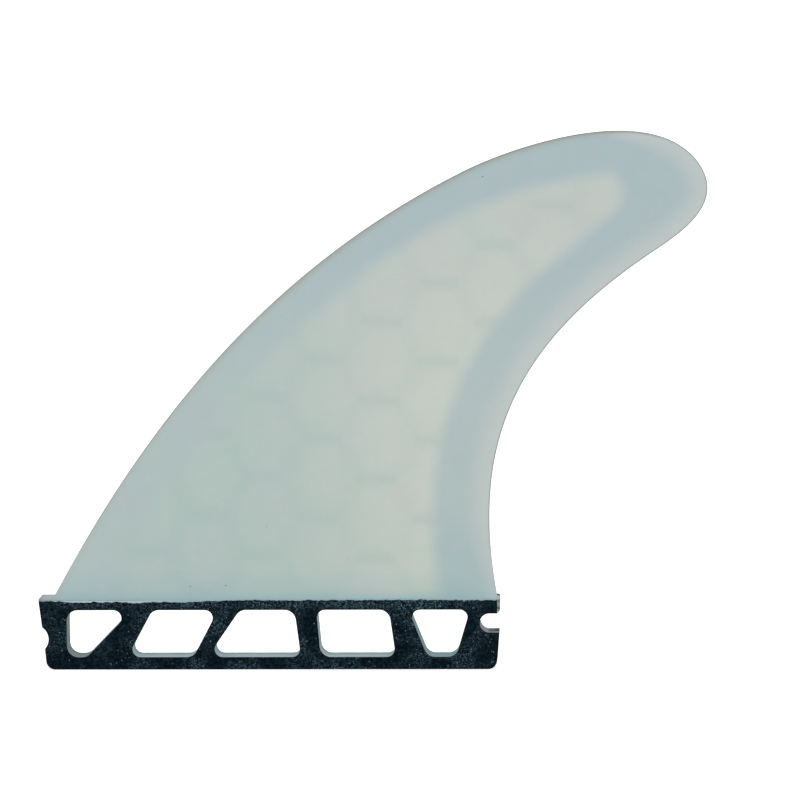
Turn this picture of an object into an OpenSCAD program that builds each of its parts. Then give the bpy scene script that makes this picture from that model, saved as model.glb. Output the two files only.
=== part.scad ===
// Side fin for a surfboard, with one long base tab for a standard fin box.
// The blade and its tab are one glass-fibre moulding. A honeycomb-patterned
// core lies sealed inside the blade, and the tab's two faces carry a black coat.
// Lengths are in millimetres. The origin is the middle of the ledge where the
// tab meets the board: X runs aft, Y runs outwards to the foiled side, Z runs up.

/* [Tab] */
// Length of the tab along the board
tab_length = 115; // [113:0.5:118]
// Depth of the tab below the ledge
tab_depth = 18; // [17:0.25:20]
// Thickness of the tab over both coats
tab_thickness = 6.3; // [6:0.1:7]
// Distance that the front end leans back from ledge to bottom
front_rake = 1.9; // [1:0.1:3]
// Radius of the two bottom corners
corner_radius = 2.3; // [1.5:0.1:3]
// Radius of the two corners at the ledge
ledge_radius = 0.4; // [0.3:0.1:1.2]
// Distance that the rear end leans forward from slot to bottom
rear_rake = 0.9; // [0.3:0.1:1.5]
// Height of the solid strip above the cut-outs
top_web = 3; // [2.7:0.1:3.6]
// Height of the solid strip below the cut-outs
bottom_web = 3.1; // [2.5:0.1:4]
// Radius of the cut-outs' square and wide corners
wide_radius = 2.8; // [2:0.1:3]
// Radius of the cut-outs' narrow corners
narrow_radius = 2; // [1.5:0.1:2.4]
// Solid post between the front end and the first cut-out
front_post = 7; // [5:0.1:8]
// Solid wall between the rear slot and the last cut-out
slot_wall = 2.3; // [1.6:0.1:3]
// Bare strip of laminate between the ledge and the coat
bare_strip = 0.7; // [0.4:0.1:1.5]
// Thickness of each coat
coat_thickness = 0.2; // [0.1:0.05:0.4]

/* [Tab ends] */
// Height of the hook above the rear slot
hook_height = 4; // [3.4:0.1:5]
// Height of the rear slot
slot_height = 4.8; // [4:0.1:6]
// Depth of the rear slot from the rear end
slot_depth = 5; // [4:0.1:5.4]
// Bevel on the hook's upright edges
hook_bevel = 0.6; // [0.2:0.1:0.9]
// Cut on the hook's lower corner, above the slot
hook_cut = 0.6; // [0.3:0.1:1]
// Height of the front notch at its mouth
notch_height = 5.6; // [4:0.1:7]
// Depth of the front notch
notch_depth = 1.3; // [0.8:0.1:2]
// Depth of the notch's middle below the ledge
notch_drop = 10.3; // [9:0.1:11]

/* [Blade] */
// Height of the blade above the ledge, along its flat face
blade_height = 115.2; // [105:0.5:125]
// Angle that the blade leans outwards from the tab
cant = 6.5; // [3:0.5:8]
// Step from the tab's bare face in to the blade's flat face
shoulder = 0.1; // [0.05:0.05:0.3]
// Thickness near the tip, before the tip fades out
tip_thickness = 4; // [3.6:0.1:4.6]
// Thickness of the leading and trailing edges
edge_thickness = 0.8; // [0.6:0.1:1.2]
// Length of the small flare at the foot of the leading edge
foot_flare = 2.4; // [0.5:0.1:2.6]
// Height of that flare
flare_height = 1.8; // [1:0.1:4]
// Width of the fillet at the blade's foot, on the foiled side
foot_fillet = 0.8; // [0.3:0.1:1.2]

/* [Core] */
// Thickness of the core sheet at its pads
core_thickness = 1; // [0.8:0.05:1.1]
// Thickness of the thin web that joins the pads
core_web = 0.3; // [0.2:0.05:0.4]
// Laminate over the core on the flat side, at the foot of the trailing edge
core_skin = 0.6; // [0.5:0.05:0.7]
// Spacing of the pad columns along the blade
pad_pitch = 14.2; // [12:0.1:16]
// Spacing of the pads up each column
pad_rise = 19.7; // [17:0.1:22]
// Length of a pad's flat top edge, between the grooves' centre lines
pad_flat = 10.5; // [8:0.1:11]
// Width of the level grooves between pads
level_groove = 1.6; // [1:0.1:2.2]
// Width of the slanting grooves between pads
slant_groove = 0.8; // [0.5:0.1:1.4]
// Gap between the core and the laminate around it
core_gap = 0.02; // [0:0.01:0.05]

/* [Quality] */
// Sections up the blade
sections = 84; // [40:2:120]
// Points across the foiled face
chord_points = 22; // [12:1:30]

/* [Hidden] */
$fn = 96;
// Straight steps in the arc of a rounded corner
arc_steps = 8;

laminate_colour = [0.69, 0.76, 0.76];
core_colour = [0.86, 0.88, 0.82];
coat_colour = [0.08, 0.11, 0.14];

// Outline of the blade as it was measured: x along the board, height up the flat face.
// The leading and trailing edges are two cubic curves each, and meet at the tip.
drawn_height = 115.2;
drawn_length = 115;
front_lower = [[-53.8, 0], [-28.7, 46.4], [2.4, 82.6], [48.8, 105.5]];
front_upper = [[48.8, 105.5], [61.9, 112], [95.9, 122.9], [107, 107.4]];
back_lower = [[57, 0], [49.6, 40], [63.6, 64.1], [95.9, 85.4]];
back_upper = [[95.9, 85.4], [103.2, 90.2], [114.1, 97.5], [107, 107.4]];
core_front = [[-41, 3], [-19.1, 48.3], [32.5, 102.6], [85.3, 104.8]];
core_tip = [[85.3, 104.8], [88, 104.2], [89.2, 101.5], [88.3, 98.6]];
core_back = [[42.9, 3], [32, 72.2], [87.7, 88.7], [88.3, 98.6]];

// Share of the sections that follow the lower curves
lower_share = 0.7;
// Chord at which the foil has lost most of its thickness towards the tip
tip_fade = 18;
// How far the blade's foot runs down inside the tab
root_depth = 1.5;
// Turn of the core sheet, which lies deeper towards the nose and the tip, in degrees
core_turn = 0.75;
core_lean = 0.33;
// Place along the blade of the point that the core sheet turns about
core_pivot = 43.2;
// Middle of the pad nearest to the origin
pad_start = [-0.6, -0.5];

bare_thickness = tab_thickness - 2 * coat_thickness;
root_thickness = bare_thickness - 2 * shoulder;
front_x = -tab_length / 2;
rear_x = tab_length / 2;
stretch_x = tab_length / drawn_length;
stretch_h = blade_height / drawn_height;
cut_top = -top_web;
cut_bottom = -(tab_depth - bottom_web);

// Cut-outs as corner positions along the tab: top front, top rear, bottom rear, bottom front.
// The end ones start from the posts at the tab's ends, and all keep their ribs as it stretches.
first_x = front_x + front_post;
last_x = rear_x - slot_depth - slot_wall;
cutouts = [
    [first_x, first_x + 16.5 * stretch_x, first_x + 4.9 * stretch_x, first_x],
    [-29, -12.6, -18.9, -35.5] * stretch_x,
    [-7.1, 6.5, 7.95, -15.4] * stretch_x,
    [11.9, 30, 31.6, 12.9] * stretch_x,
    [last_x - 15.4 * stretch_x, last_x, last_x - 3.6 * stretch_x, last_x - 10.7 * stretch_x]
];

// Curves and outlines

function curve(p, t) =
    pow(1 - t, 3) * p[0] + 3 * pow(1 - t, 2) * t * p[1]
    + 3 * (1 - t) * pow(t, 2) * p[2] + pow(t, 3) * p[3];

function scaled(p) = [p[0] * stretch_x, p[1] * stretch_h];

function edge_point(lower, upper, v) =
    scaled(v < lower_share
        ? curve(lower, v / lower_share)
        : curve(upper, (v - lower_share) / (1 - lower_share)));

function unit(v) = v / norm(v);

// Half of the angle between the two sides that meet at corner i
function half_angle(p, i) =
    let (n = len(p))
    let (a = unit(p[(i + n - 1) % n] - p[i]))
    let (b = unit(p[(i + 1) % n] - p[i]))
    acos(a * b) / 2;

function round_centre(p, i, r) =
    let (n = len(p))
    let (a = unit(p[(i + n - 1) % n] - p[i]))
    let (b = unit(p[(i + 1) % n] - p[i]))
    p[i] + unit(a + b) * r / sin(half_angle(p, i));

// Points round corner i, from where the arc leaves one side to where it meets the next
function corner_arc(p, i, r) =
    let (n = len(p))
    let (centre = round_centre(p, i, r))
    let (reach = r / tan(half_angle(p, i)))
    let (a = p[i] + unit(p[(i + n - 1) % n] - p[i]) * reach - centre)
    let (b = p[i] + unit(p[(i + 1) % n] - p[i]) * reach - centre)
    let (start = atan2(a[1], a[0]))
    let (turn = atan2(a[0] * b[1] - a[1] * b[0], a * b))
    [for (k = [0 : arc_steps])
        let (t = start + turn * k / arc_steps)
        centre + r * [cos(t), sin(t)]];

// A convex polygon whose corner i has the radius r[i]
module rounded(p, r) {
    polygon([for (i = [0 : len(p) - 1]) each r[i] > 0 ? corner_arc(p, i, r[i]) : [p[i]]]);
}

// Stands a flat outline up in the XZ plane, with its thickness centred on Y
module upright(thickness) {
    rotate([90, 0, 0]) linear_extrude(height = thickness, center = true) children();
}

// Tab

function tab_corners() = [
    [front_x, 0],
    [rear_x, 0],
    [rear_x, -hook_height - slot_height / 2],
    [rear_x - rear_rake, -tab_depth],
    [front_x + front_rake, -tab_depth]
];

module notch_outline() {
    radius = (pow(notch_height / 2, 2) + pow(notch_depth, 2)) / (2 * notch_depth);
    face_x = front_x + front_rake * notch_drop / tab_depth;
    translate([face_x + notch_depth - radius, -notch_drop]) circle(r = radius);
}

module slot_outline() {
    radius = slot_height / 2;
    centre = [rear_x - slot_depth + radius, -hook_height - radius];
    polygon(concat(
        [for (k = [0 : 2 * arc_steps])
            let (t = 90 + 90 * k / arc_steps)
            centre + radius * [cos(t), sin(t)]],
        [
            [rear_x + 1, centre[1] - radius],
            [rear_x + 1, -hook_height + hook_cut + 1],
            [rear_x - hook_cut, -hook_height]
        ]
    ));
}

module cutout_outline(c) {
    corners = [[c[0], cut_top], [c[1], cut_top], [c[2], cut_bottom], [c[3], cut_bottom]];
    rounded(corners, [for (i = [0 : 3])
        half_angle(corners, i) > 44 ? wide_radius : narrow_radius]);
}

module tab_outline() {
    difference() {
        rounded(tab_corners(), [ledge_radius, ledge_radius, 0, corner_radius, corner_radius]);
        for (c = cutouts) cutout_outline(c);
        slot_outline();
        notch_outline();
    }
}

// Both upright edges at the end of the hook are bevelled
module hook_bevels() {
    reach = 1;
    half = tab_thickness / 2;
    for (side = [-1, 1])
        translate([0, 0, -hook_height - slot_height / 2])
            linear_extrude(height = hook_height + slot_height / 2)
                polygon([
                    [rear_x - hook_bevel - reach, side * (half + reach)],
                    [rear_x + reach, side * (half + reach)],
                    [rear_x + reach, side * (half - hook_bevel - reach)]
                ]);
}

module tab_body() {
    difference() {
        upright(bare_thickness) tab_outline();
        hook_bevels();
    }
}

module coat(side) {
    difference() {
        translate([0, side * (tab_thickness - coat_thickness) / 2, 0])
            upright(coat_thickness)
                difference() {
                    tab_outline();
                    translate([front_x - 1, -bare_strip])
                        square([tab_length + 2, bare_strip + 1]);
                }
        hook_bevels();
    }
}

// Blade

// Half-section of the foil: 0 at the leading edge, 1 at its thickest, near 0 behind
function foil(s) =
    10 * (0.2969 * sqrt(s) - 0.126 * s - 0.3516 * pow(s, 2) + 0.2843 * pow(s, 3)
    - 0.1015 * pow(s, 4));

// Greatest thickness of the section at v, which fades as the chord closes at the tip
function full_thickness(v, chord) =
    let (straight = root_thickness + (tip_thickness - root_thickness) * v)
    edge_thickness + (straight - edge_thickness) * (1 - exp(-chord / tip_fade));

// The leading edge runs forward a little where it meets the ledge
function flare(h) =
    h < flare_height ? foot_flare * pow(1 - max(h, 0) / flare_height, 2) : 0;

// Positions of the sections: a few close together at the foot, then even steps
section_list = concat(
    [for (k = [0 : 4]) 0.0035 * k],
    [for (k = [1 : sections]) 0.014 + (0.994 - 0.014) * k / sections]
);

// Points round one section: the foiled face from front to back, then the flat face
function section_points(front, back, drop, v) =
    let (start = [front[0] - flare(front[1]), front[1]])
    let (chord = norm(back - start))
    let (top = full_thickness(v, chord))
    let (low = max(0, 1 - max(front[1], 0) / flare_height))
    let (swell = foot_fillet * pow(low, 2))
    let (e = edge_thickness)
    let (n = chord_points)
    let (run = min(0.9, chord / 6))
    let (across = concat(
        [for (k = [0 : n])
            let (s = (1 - cos(180 * k / n)) / 2)
            let (t = e + (top - e) * foil(s))
            [s * (chord - 0.25) / chord, min(t + swell, max(t, root_thickness))]],
        [[1, 0.7 * e], [1, 0.3 * e], [1 - 0.3 / chord, 0], [run / chord, 0]],
        [[run / chord / 3, 0.1 * e], [0, 0.4 * e]]
    ))
    [for (a = across)
        let (q = start + (back - start) * a[0])
        [q[0], a[1], q[1] - drop]];

function blade_rings() = concat(
    [section_points(edge_point(front_lower, front_upper, 0),
        edge_point(back_lower, back_upper, 0), root_depth, 0)],
    [for (v = section_list)
        section_points(edge_point(front_lower, front_upper, v),
            edge_point(back_lower, back_upper, v), 0, v)]
);

module blade_body() {
    rings = blade_rings();
    count = len(rings[0]);
    last = len(rings) - 1;
    polyhedron(
        points = [for (ring = rings) each ring],
        faces = concat(
            [[for (k = [count - 1 : -1 : 0]) k]],
            [[for (k = [0 : count - 1]) last * count + k]],
            [for (j = [0 : last - 1]) for (k = [0 : count - 1])
                [j * count + k, j * count + (k + 1) % count, (j + 1) * count + k]],
            [for (j = [0 : last - 1]) for (k = [0 : count - 1])
                [j * count + (k + 1) % count, (j + 1) * count + (k + 1) % count,
                    (j + 1) * count + k]]
        )
    );
}

// Puts the blade's own frame, flat face on Y = 0, on the tab's inner shoulder
module on_tab() {
    translate([0, -bare_thickness / 2 + shoulder, 0]) rotate([-cant, 0, 0]) children();
}

// Core

// Outline of the core sheet, grown by a small gap for the pocket in the laminate
module core_outline(grow) {
    steps = 28;
    front = [for (k = [0 : steps]) scaled(curve(core_front, k / steps))];
    tip = [for (k = [1 : 6]) scaled(curve(core_tip, k / 7))];
    back = [for (k = [0 : steps]) scaled(curve(core_back, 1 - k / steps))];
    loop = concat(front, tip, back);
    n = len(loop);
    polygon([for (i = [0 : n - 1])
        let (along = unit(loop[(i + 1) % n] - loop[(i + n - 1) % n]))
        loop[i] + grow * [-along[1], along[0]]]);
}

// Three points that round off the corner p between a and b
function soft_corner(a, p, b, cut) =
    let (first = p + unit(a - p) * cut)
    let (last = p + unit(b - p) * cut)
    [first, (first + 2 * p + last) / 4, last];

// One pad, level at top and bottom and widest at its middle
function pad_points(grow) =
    let (half_rise = pad_rise / 2)
    let (lean = pad_pitch - pad_flat)
    let (side = norm([half_rise, lean]))
    let (side_x = pad_pitch - pad_flat / 2 - (slant_groove / 2 - grow) * side / half_rise)
    let (top_z = half_rise - level_groove / 2 + grow)
    let (top_x = side_x - top_z * lean / half_rise)
    let (p = [[side_x, 0], [top_x, top_z], [-top_x, top_z],
        [-side_x, 0], [-top_x, -top_z], [top_x, -top_z]])
    [for (i = [0 : 5]) each soft_corner(p[(i + 5) % 6], p[i], p[(i + 1) % 6], 2.2)];

module pads_outline(grow) {
    intersection() {
        core_outline(grow);
        union() {
            for (i = [-5 : 5]) for (j = [-1 : 6])
                translate(pad_start + [i * pad_pitch, pad_rise * (j + (i % 2 == 0 ? 0 : 0.5))])
                    polygon(pad_points(grow));
        }
    }
}

// Pads on both sides of a thin web; grow gives the pocket that the laminate keeps for it
module core_body(grow) {
    translate([core_pivot * stretch_x, core_skin + core_thickness / 2, 0])
        rotate([-core_lean, 0, -core_turn])
            translate([-core_pivot * stretch_x, 0, 0]) {
                upright(core_web + 2 * grow) core_outline(grow);
                upright(core_thickness + 2 * grow) pads_outline(grow);
            }
}

// Nodes

module laminate() {
    color(laminate_colour)
        difference() {
            union() {
                tab_body();
                on_tab() blade_body();
            }
            on_tab() core_body(core_gap);
        }
}

module honeycomb_core() {
    color(core_colour) on_tab() core_body(0);
}

module inner_coat() {
    color(coat_colour) coat(-1);
}

module outer_coat() {
    color(coat_colour) coat(1);
}

laminate();
honeycomb_core();
inner_coat();
outer_coat();
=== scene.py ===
# %% [markdown]
# # A surfboard side fin
# The fin is one glass-fibre moulding: a raked blade, flat on one face and foiled on the other, on
# a long tab that goes into a box in the board. A honeycomb core sheet is sealed inside the blade
# and shows through it. The tab's two faces carry a thin black coat.
#
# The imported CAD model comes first. It fixes where everything is, so each piece below is made in
# the same frame, in metres: X runs aft, Y runs outwards to the foiled side, Z runs up, and the
# origin is the middle of the ledge where the blade meets its tab.

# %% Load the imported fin
import math

import bmesh
import bpy
import numpy as np
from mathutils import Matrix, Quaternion, Vector
from mathutils.geometry import tessellate_polygon


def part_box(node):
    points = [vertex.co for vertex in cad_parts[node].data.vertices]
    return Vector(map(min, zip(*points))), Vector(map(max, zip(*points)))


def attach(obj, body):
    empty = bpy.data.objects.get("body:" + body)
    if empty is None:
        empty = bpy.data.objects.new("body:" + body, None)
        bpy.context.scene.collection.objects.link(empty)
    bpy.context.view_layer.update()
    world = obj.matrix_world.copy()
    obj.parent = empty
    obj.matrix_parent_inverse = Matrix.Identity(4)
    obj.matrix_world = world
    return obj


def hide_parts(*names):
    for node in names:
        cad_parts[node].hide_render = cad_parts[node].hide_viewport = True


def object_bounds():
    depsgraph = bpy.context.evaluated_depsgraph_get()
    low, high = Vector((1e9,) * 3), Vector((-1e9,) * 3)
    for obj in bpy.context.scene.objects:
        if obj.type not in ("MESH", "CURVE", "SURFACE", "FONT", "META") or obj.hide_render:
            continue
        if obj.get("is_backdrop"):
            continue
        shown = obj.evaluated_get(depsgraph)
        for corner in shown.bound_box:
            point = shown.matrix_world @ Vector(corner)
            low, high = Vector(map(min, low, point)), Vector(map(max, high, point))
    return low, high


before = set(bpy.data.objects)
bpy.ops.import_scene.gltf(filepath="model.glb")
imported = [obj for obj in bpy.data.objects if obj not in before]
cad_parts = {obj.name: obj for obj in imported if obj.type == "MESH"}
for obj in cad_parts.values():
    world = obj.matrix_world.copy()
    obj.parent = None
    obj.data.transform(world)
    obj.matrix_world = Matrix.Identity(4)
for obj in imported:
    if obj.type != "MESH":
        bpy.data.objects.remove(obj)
cad_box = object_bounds()
MM = 0.001
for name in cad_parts:
    low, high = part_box(name)
    print(name, "is", [round((b - a) / MM, 2) for a, b in zip(low, high)], "mm")

# %% [markdown]
# ## The blade's outline
# A fin is drawn from the side first: the leading edge sweeps back in one long curve, and the
# trailing edge hollows out behind it. Each is two cubic curves that meet at the tip. Using the
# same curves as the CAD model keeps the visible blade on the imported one, to a few hundredths of
# a millimetre, while the mesh here can be much finer.

# %% Curves of the leading and trailing edges, in millimetres along and up the flat face
FRONT_LOWER = np.array([[-53.8, 0], [-28.7, 46.4], [2.4, 82.6], [48.8, 105.5]])
FRONT_UPPER = np.array([[48.8, 105.5], [61.9, 112], [95.9, 122.9], [107, 107.4]])
BACK_LOWER = np.array([[57, 0], [49.6, 40], [63.6, 64.1], [95.9, 85.4]])
BACK_UPPER = np.array([[95.9, 85.4], [103.2, 90.2], [114.1, 97.5], [107, 107.4]])
CORE_FRONT = np.array([[-41, 3], [-19.1, 48.3], [32.5, 102.6], [85.3, 104.8]])
CORE_TIP = np.array([[85.3, 104.8], [88, 104.2], [89.2, 101.5], [88.3, 98.6]])
CORE_BACK = np.array([[42.9, 3], [32, 72.2], [87.7, 88.7], [88.3, 98.6]])
LOWER_SHARE = 0.7


def curve(points, t):
    """The place at t on one cubic curve."""
    a, b, c, d = points
    return (1 - t)**3 * a + 3 * (1 - t)**2 * t * b + 3 * (1 - t) * t**2 * c + t**3 * d


def edge_place(lower, upper, v):
    """The place on an edge at v: 0 at the foot, 1 at the tip."""
    if v < LOWER_SHARE:
        return curve(lower, v / LOWER_SHARE)
    return curve(upper, (v - LOWER_SHARE) / (1 - LOWER_SHARE))


front_edge = np.array([edge_place(FRONT_LOWER, FRONT_UPPER, v) for v in np.linspace(0, 1, 700)])
back_edge = np.array([edge_place(BACK_LOWER, BACK_UPPER, v) for v in np.linspace(0, 1, 700)])
core_outline = np.vstack([
    [curve(CORE_FRONT, t) for t in np.linspace(0, 1, 160)],
    [curve(CORE_TIP, t) for t in np.linspace(0, 1, 20)[1:]],
    [curve(CORE_BACK, t) for t in np.linspace(1, 0, 160)[1:]],
])
for title, line in (("leading", front_edge), ("trailing", back_edge)):
    steps = np.linalg.norm(np.diff(line, axis=0), axis=1)
    print("the", title, "edge is", round(float(steps.sum()), 1), "mm long")

# %% [markdown]
# ## The blade's section
# Cut across, a side fin is half a wing: flat inside, curved outside, thickest about a third of
# the way back, and left 0.8 mm thick at its edges so that they don't chip. A lattice or a
# subdivision surface would only come near this form. A loft puts every point where the formula
# says: each row is one closed section, and faces join each row to the next.

# %% Thickness of the section
TAB_THICKNESS, COAT_THICKNESS, SHOULDER = 6.3, 0.2, 0.1
BARE_THICKNESS = TAB_THICKNESS - 2 * COAT_THICKNESS
ROOT_THICKNESS = BARE_THICKNESS - 2 * SHOULDER
TIP_THICKNESS, EDGE, TIP_FADE = 4.0, 0.8, 18.0
FOOT_FLARE, FLARE_HEIGHT, FOOT_FILLET = 2.4, 1.1, 0.8
CANT = math.radians(6.5)


def foil(s):
    """Share of the thickness at s along the chord: 0 in front, 1 at its thickest, near 0 behind."""
    return 10 * (0.2969 * np.sqrt(s) - 0.126 * s - 0.3516 * s**2 + 0.2843 * s**3 - 0.1015 * s**4)


def full_thickness(v, chord):
    straight = ROOT_THICKNESS + (TIP_THICKNESS - ROOT_THICKNESS) * v
    return EDGE + (straight - EDGE) * (1 - math.exp(-chord / TIP_FADE))


print("thickest at the root", round(full_thickness(0, 110.8) * float(foil(np.array(0.3))), 2), "mm")

# %% One section as a closed ring of points
FOILED_STEPS, FLAT_STEPS, CORNER_STEPS = 54, 78, 4


def corner(from_point, round_point, to_point, count):
    """Points on a soft corner, without its two ends."""
    a, b, c = (np.array(p, float) for p in (from_point, round_point, to_point))
    return [(1 - t)**2 * a + 2 * (1 - t) * t * b + t * t * c
            for t in np.linspace(0, 1, count + 2)[1:-1]]


def section(v, drop=0.0):
    """Ring of points along the chord: foiled face, trailing edge, flat face, nose."""
    start, stop = (edge_place(lower, upper, v) for lower, upper in
                   ((FRONT_LOWER, FRONT_UPPER), (BACK_LOWER, BACK_UPPER)))
    low = max(0.0, 1 - start[1] / FLARE_HEIGHT)
    start = start - [FOOT_FLARE * low**2, 0]
    chord = float(np.linalg.norm(stop - start))
    top = full_thickness(v, chord)
    s = (1 - np.cos(np.linspace(0, math.pi, FOILED_STEPS))) / 2
    outer = EDGE + (top - EDGE) * foil(s)
    outer = np.minimum(outer + FOOT_FILLET * low**2, np.maximum(outer, ROOT_THICKNESS))
    tuck = min(0.25, chord / 6)
    ring = [np.array([a, b]) for a, b in zip(s * (chord - tuck), outer)]
    ring += corner(ring[-1], (chord, ring[-1][1]), (chord, 0.7 * EDGE), CORNER_STEPS)
    ring += [np.array([chord, 0.7 * EDGE]), np.array([chord, 0.3 * EDGE])]
    ring += corner(ring[-1], (chord, 0), (chord - tuck, 0), CORNER_STEPS)
    run = min(0.9, chord / 6)
    flat = np.linspace(0, math.pi, FLAT_STEPS)
    ring += [np.array([a, 0]) for a in run + (chord - tuck - run) * (1 + np.cos(flat)) / 2]
    ring += corner((run, 0), (0, 0), (0, 0.45 * EDGE), CORNER_STEPS)
    ring += [np.array([0, 0.45 * EDGE]), np.array([0, 0.75 * EDGE])]
    along = (stop - start) / chord
    return [(*(start + along * a), b, drop) for a, b in ring]


rows = [0.0, 0.0, 0.002, 0.004, 0.006, 0.0085, 0.011, 0.014]
rows += list(np.linspace(0.014, 0.95, 150)[1:]) + list(np.linspace(0.95, 0.9995, 26)[1:])
BURIED = 0.8
rings = np.array([section(v, BURIED if i == 0 else 0.0) for i, v in enumerate(rows)])
print("the blade has", rings.shape[0], "sections of", rings.shape[1], "points")

# %% Loft the sections and lean the blade outwards on its tab
def loft(name, places):
    """A closed mesh from equal rings of points, capped at both ends."""
    count, size = places.shape[:2]
    faces = [[j * size + k, j * size + (k + 1) % size,
              (j + 1) * size + (k + 1) % size, (j + 1) * size + k]
             for j in range(count - 1) for k in range(size)]
    faces += [list(range(size))[::-1], [(count - 1) * size + k for k in range(size)]]
    mesh = bpy.data.meshes.new(name)
    mesh.from_pydata([tuple(p) for p in places.reshape(-1, 3)], [], faces)
    mesh.validate()
    work = bmesh.new()
    work.from_mesh(mesh)
    bmesh.ops.recalc_face_normals(work, faces=work.faces)
    work.to_mesh(mesh)
    work.free()
    piece = bpy.data.objects.new(name, mesh)
    bpy.context.scene.collection.objects.link(piece)
    return piece


def on_tab(x, outwards, up):
    """From the blade's own measures to the row frame: flat face on the tab's inner shoulder."""
    return np.stack([x, outwards * math.cos(CANT) + up * math.sin(CANT)
                     - BARE_THICKNESS / 2 + SHOULDER,
                     up * math.cos(CANT) - outwards * math.sin(CANT)], axis=-1)


places = on_tab(rings[..., 0], rings[..., 2], rings[..., 1] - rings[..., 3]) * MM
low, high = (np.array(corner_) for corner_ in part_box("laminate"))
places = np.clip(places, low, high)
blade = loft("blade", places)
blade.data.shade_smooth()
blade.data.set_sharp_from_angle(angle=math.radians(50))
print("the blade has", len(blade.data.polygons), "faces")

# %% [markdown]
# ## What the blade's surface knows
# The look of a see-through laminate depends on what lies under each point: how far it is from
# the edges, and whether the core is below and how deep. Painting that by hand would smear. The
# numbers are instead worked out once for each vertex and kept as attributes, which the material
# then reads. The surface stays opaque, so it costs nothing to render and survives an export.

# %% Measure each vertex against the edges and the core
def distance_to(line, spots):
    """Least distance from each spot to a line of points, in millimetres."""
    a, b = line[:-1], line[1:]
    span = b - a
    best = np.full(len(spots), 1e9)
    for p, d in zip(a, span):
        t = np.clip(((spots - p) @ d) / max(d @ d, 1e-12), 0, 1)
        best = np.minimum(best, np.hypot(*(spots - p - t[:, None] * d).T))
    return best


def inside(loop, spots):
    """Whether each spot is inside a closed loop, by counting the sides that it passes."""
    odd = np.zeros(len(spots), bool)
    for (x1, y1), (x2, y2) in zip(loop, np.roll(loop, -1, axis=0)):
        if y1 != y2:
            crosses = (spots[:, 1] > y1) != (spots[:, 1] > y2)
            odd ^= crosses & (spots[:, 0] < x1 + (spots[:, 1] - y1) * (x2 - x1) / (y2 - y1))
    return odd


flat_rings = rings.reshape(-1, 4)
spots, depth = flat_rings[:, :2], flat_rings[:, 2]
from_front = distance_to(front_edge[::2], spots)
from_back = distance_to(back_edge[::2], spots)
core_sides = np.vstack([[[-43.9, -3]], core_outline, [[43.8, -3]]])
core_reach = distance_to(core_sides, spots) * np.where(inside(core_sides, spots), 1, -1)
print("vertices over the core:", int((core_reach > 0).sum()), "of", len(spots))

# %% How much of the core shows through each face
# The sheet lies just under the flat face at the rear and sinks towards the nose and the tip, so
# its share fades there. The foiled face covers it with more laminate, and shows less.
CORE_SKIN, CORE_THICKNESS, CORE_PIVOT = 0.6, 1.0, 43.2
CORE_TURN, CORE_LEAN = math.radians(0.75), math.radians(0.33)
flat_share = 1 / (1 + np.exp(1.87 - 0.074 * spots[:, 0] - 0.006 * spots[:, 1]))
near_tip = np.clip((spots[:, 1] - 45) / 60, 0, 1)
flat_share *= 1 - 0.49 * near_tip**2 * (3 - 2 * near_tip)
core_top = (CORE_SKIN + CORE_THICKNESS + (CORE_PIVOT - spots[:, 0]) * math.tan(CORE_TURN)
            + spots[:, 1] * math.tan(CORE_LEAN))
foiled_share = np.exp(-np.clip(depth - core_top - 0.5, 0, None) / 1.1)
is_foiled = np.clip((depth - 0.3 * EDGE) / (0.5 * EDGE), 0, 1)
core_share = flat_share * (1 - is_foiled) + foiled_share * is_foiled


def store(piece, name, values, kind="FLOAT"):
    """Keeps one number, or one vector, for each vertex."""
    attribute = piece.data.attributes.new(name, kind, "POINT")
    field = "vector" if kind == "FLOAT_VECTOR" else "value"
    attribute.data.foreach_set(field, np.asarray(values, np.float32).ravel())


plan = np.column_stack([spots, is_foiled * 50])
store(blade, "plan", plan, "FLOAT_VECTOR")
for name, values in (("from_front", from_front), ("from_back", from_back),
                     ("core_reach", core_reach), ("core_share", core_share)):
    store(blade, name, values)
print("core share on the flat face runs from", round(float(flat_share.min()), 2),
      "to", round(float(flat_share.max()), 2))

# %% [markdown]
# ## The tab
# The tab is a plate with five cut-outs, a notch at its front end and a hooked slot at its rear
# end. A modeller could cut these with booleans. Here the outline and its holes are drawn as
# plain loops and filled, because the loops can then be used again for the coats, and because
# every wall gets clean, evenly spaced points round its corners.

# %% Loops of the tab's outline and cut-outs, in millimetres along and up
TAB_LENGTH, TAB_DEPTH = 115.0, 18.0
FRONT_X, REAR_X = -TAB_LENGTH / 2, TAB_LENGTH / 2
FRONT_RAKE, REAR_RAKE, CORNER_RADIUS, LEDGE_RADIUS = 1.9, 0.9, 2.3, 0.4
HOOK_HEIGHT, HOOK_BEVEL, HOOK_CUT = 4.0, 0.6, 0.6
SLOT_HEIGHT, SLOT_DEPTH = 4.8, 5.0
NOTCH_HEIGHT, NOTCH_DEPTH, NOTCH_DROP = 5.6, 1.3, 10.3
TOP_WEB, BOTTOM_WEB, WIDE_RADIUS, NARROW_RADIUS = 3.0, 3.1, 2.8, 2.0


def arc(centre, radius, start, stop, count):
    """Points from one angle to another, in degrees."""
    return [np.array(centre) + radius * np.array([math.cos(a), math.sin(a)])
            for a in np.radians(np.linspace(start, stop, count))]


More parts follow.
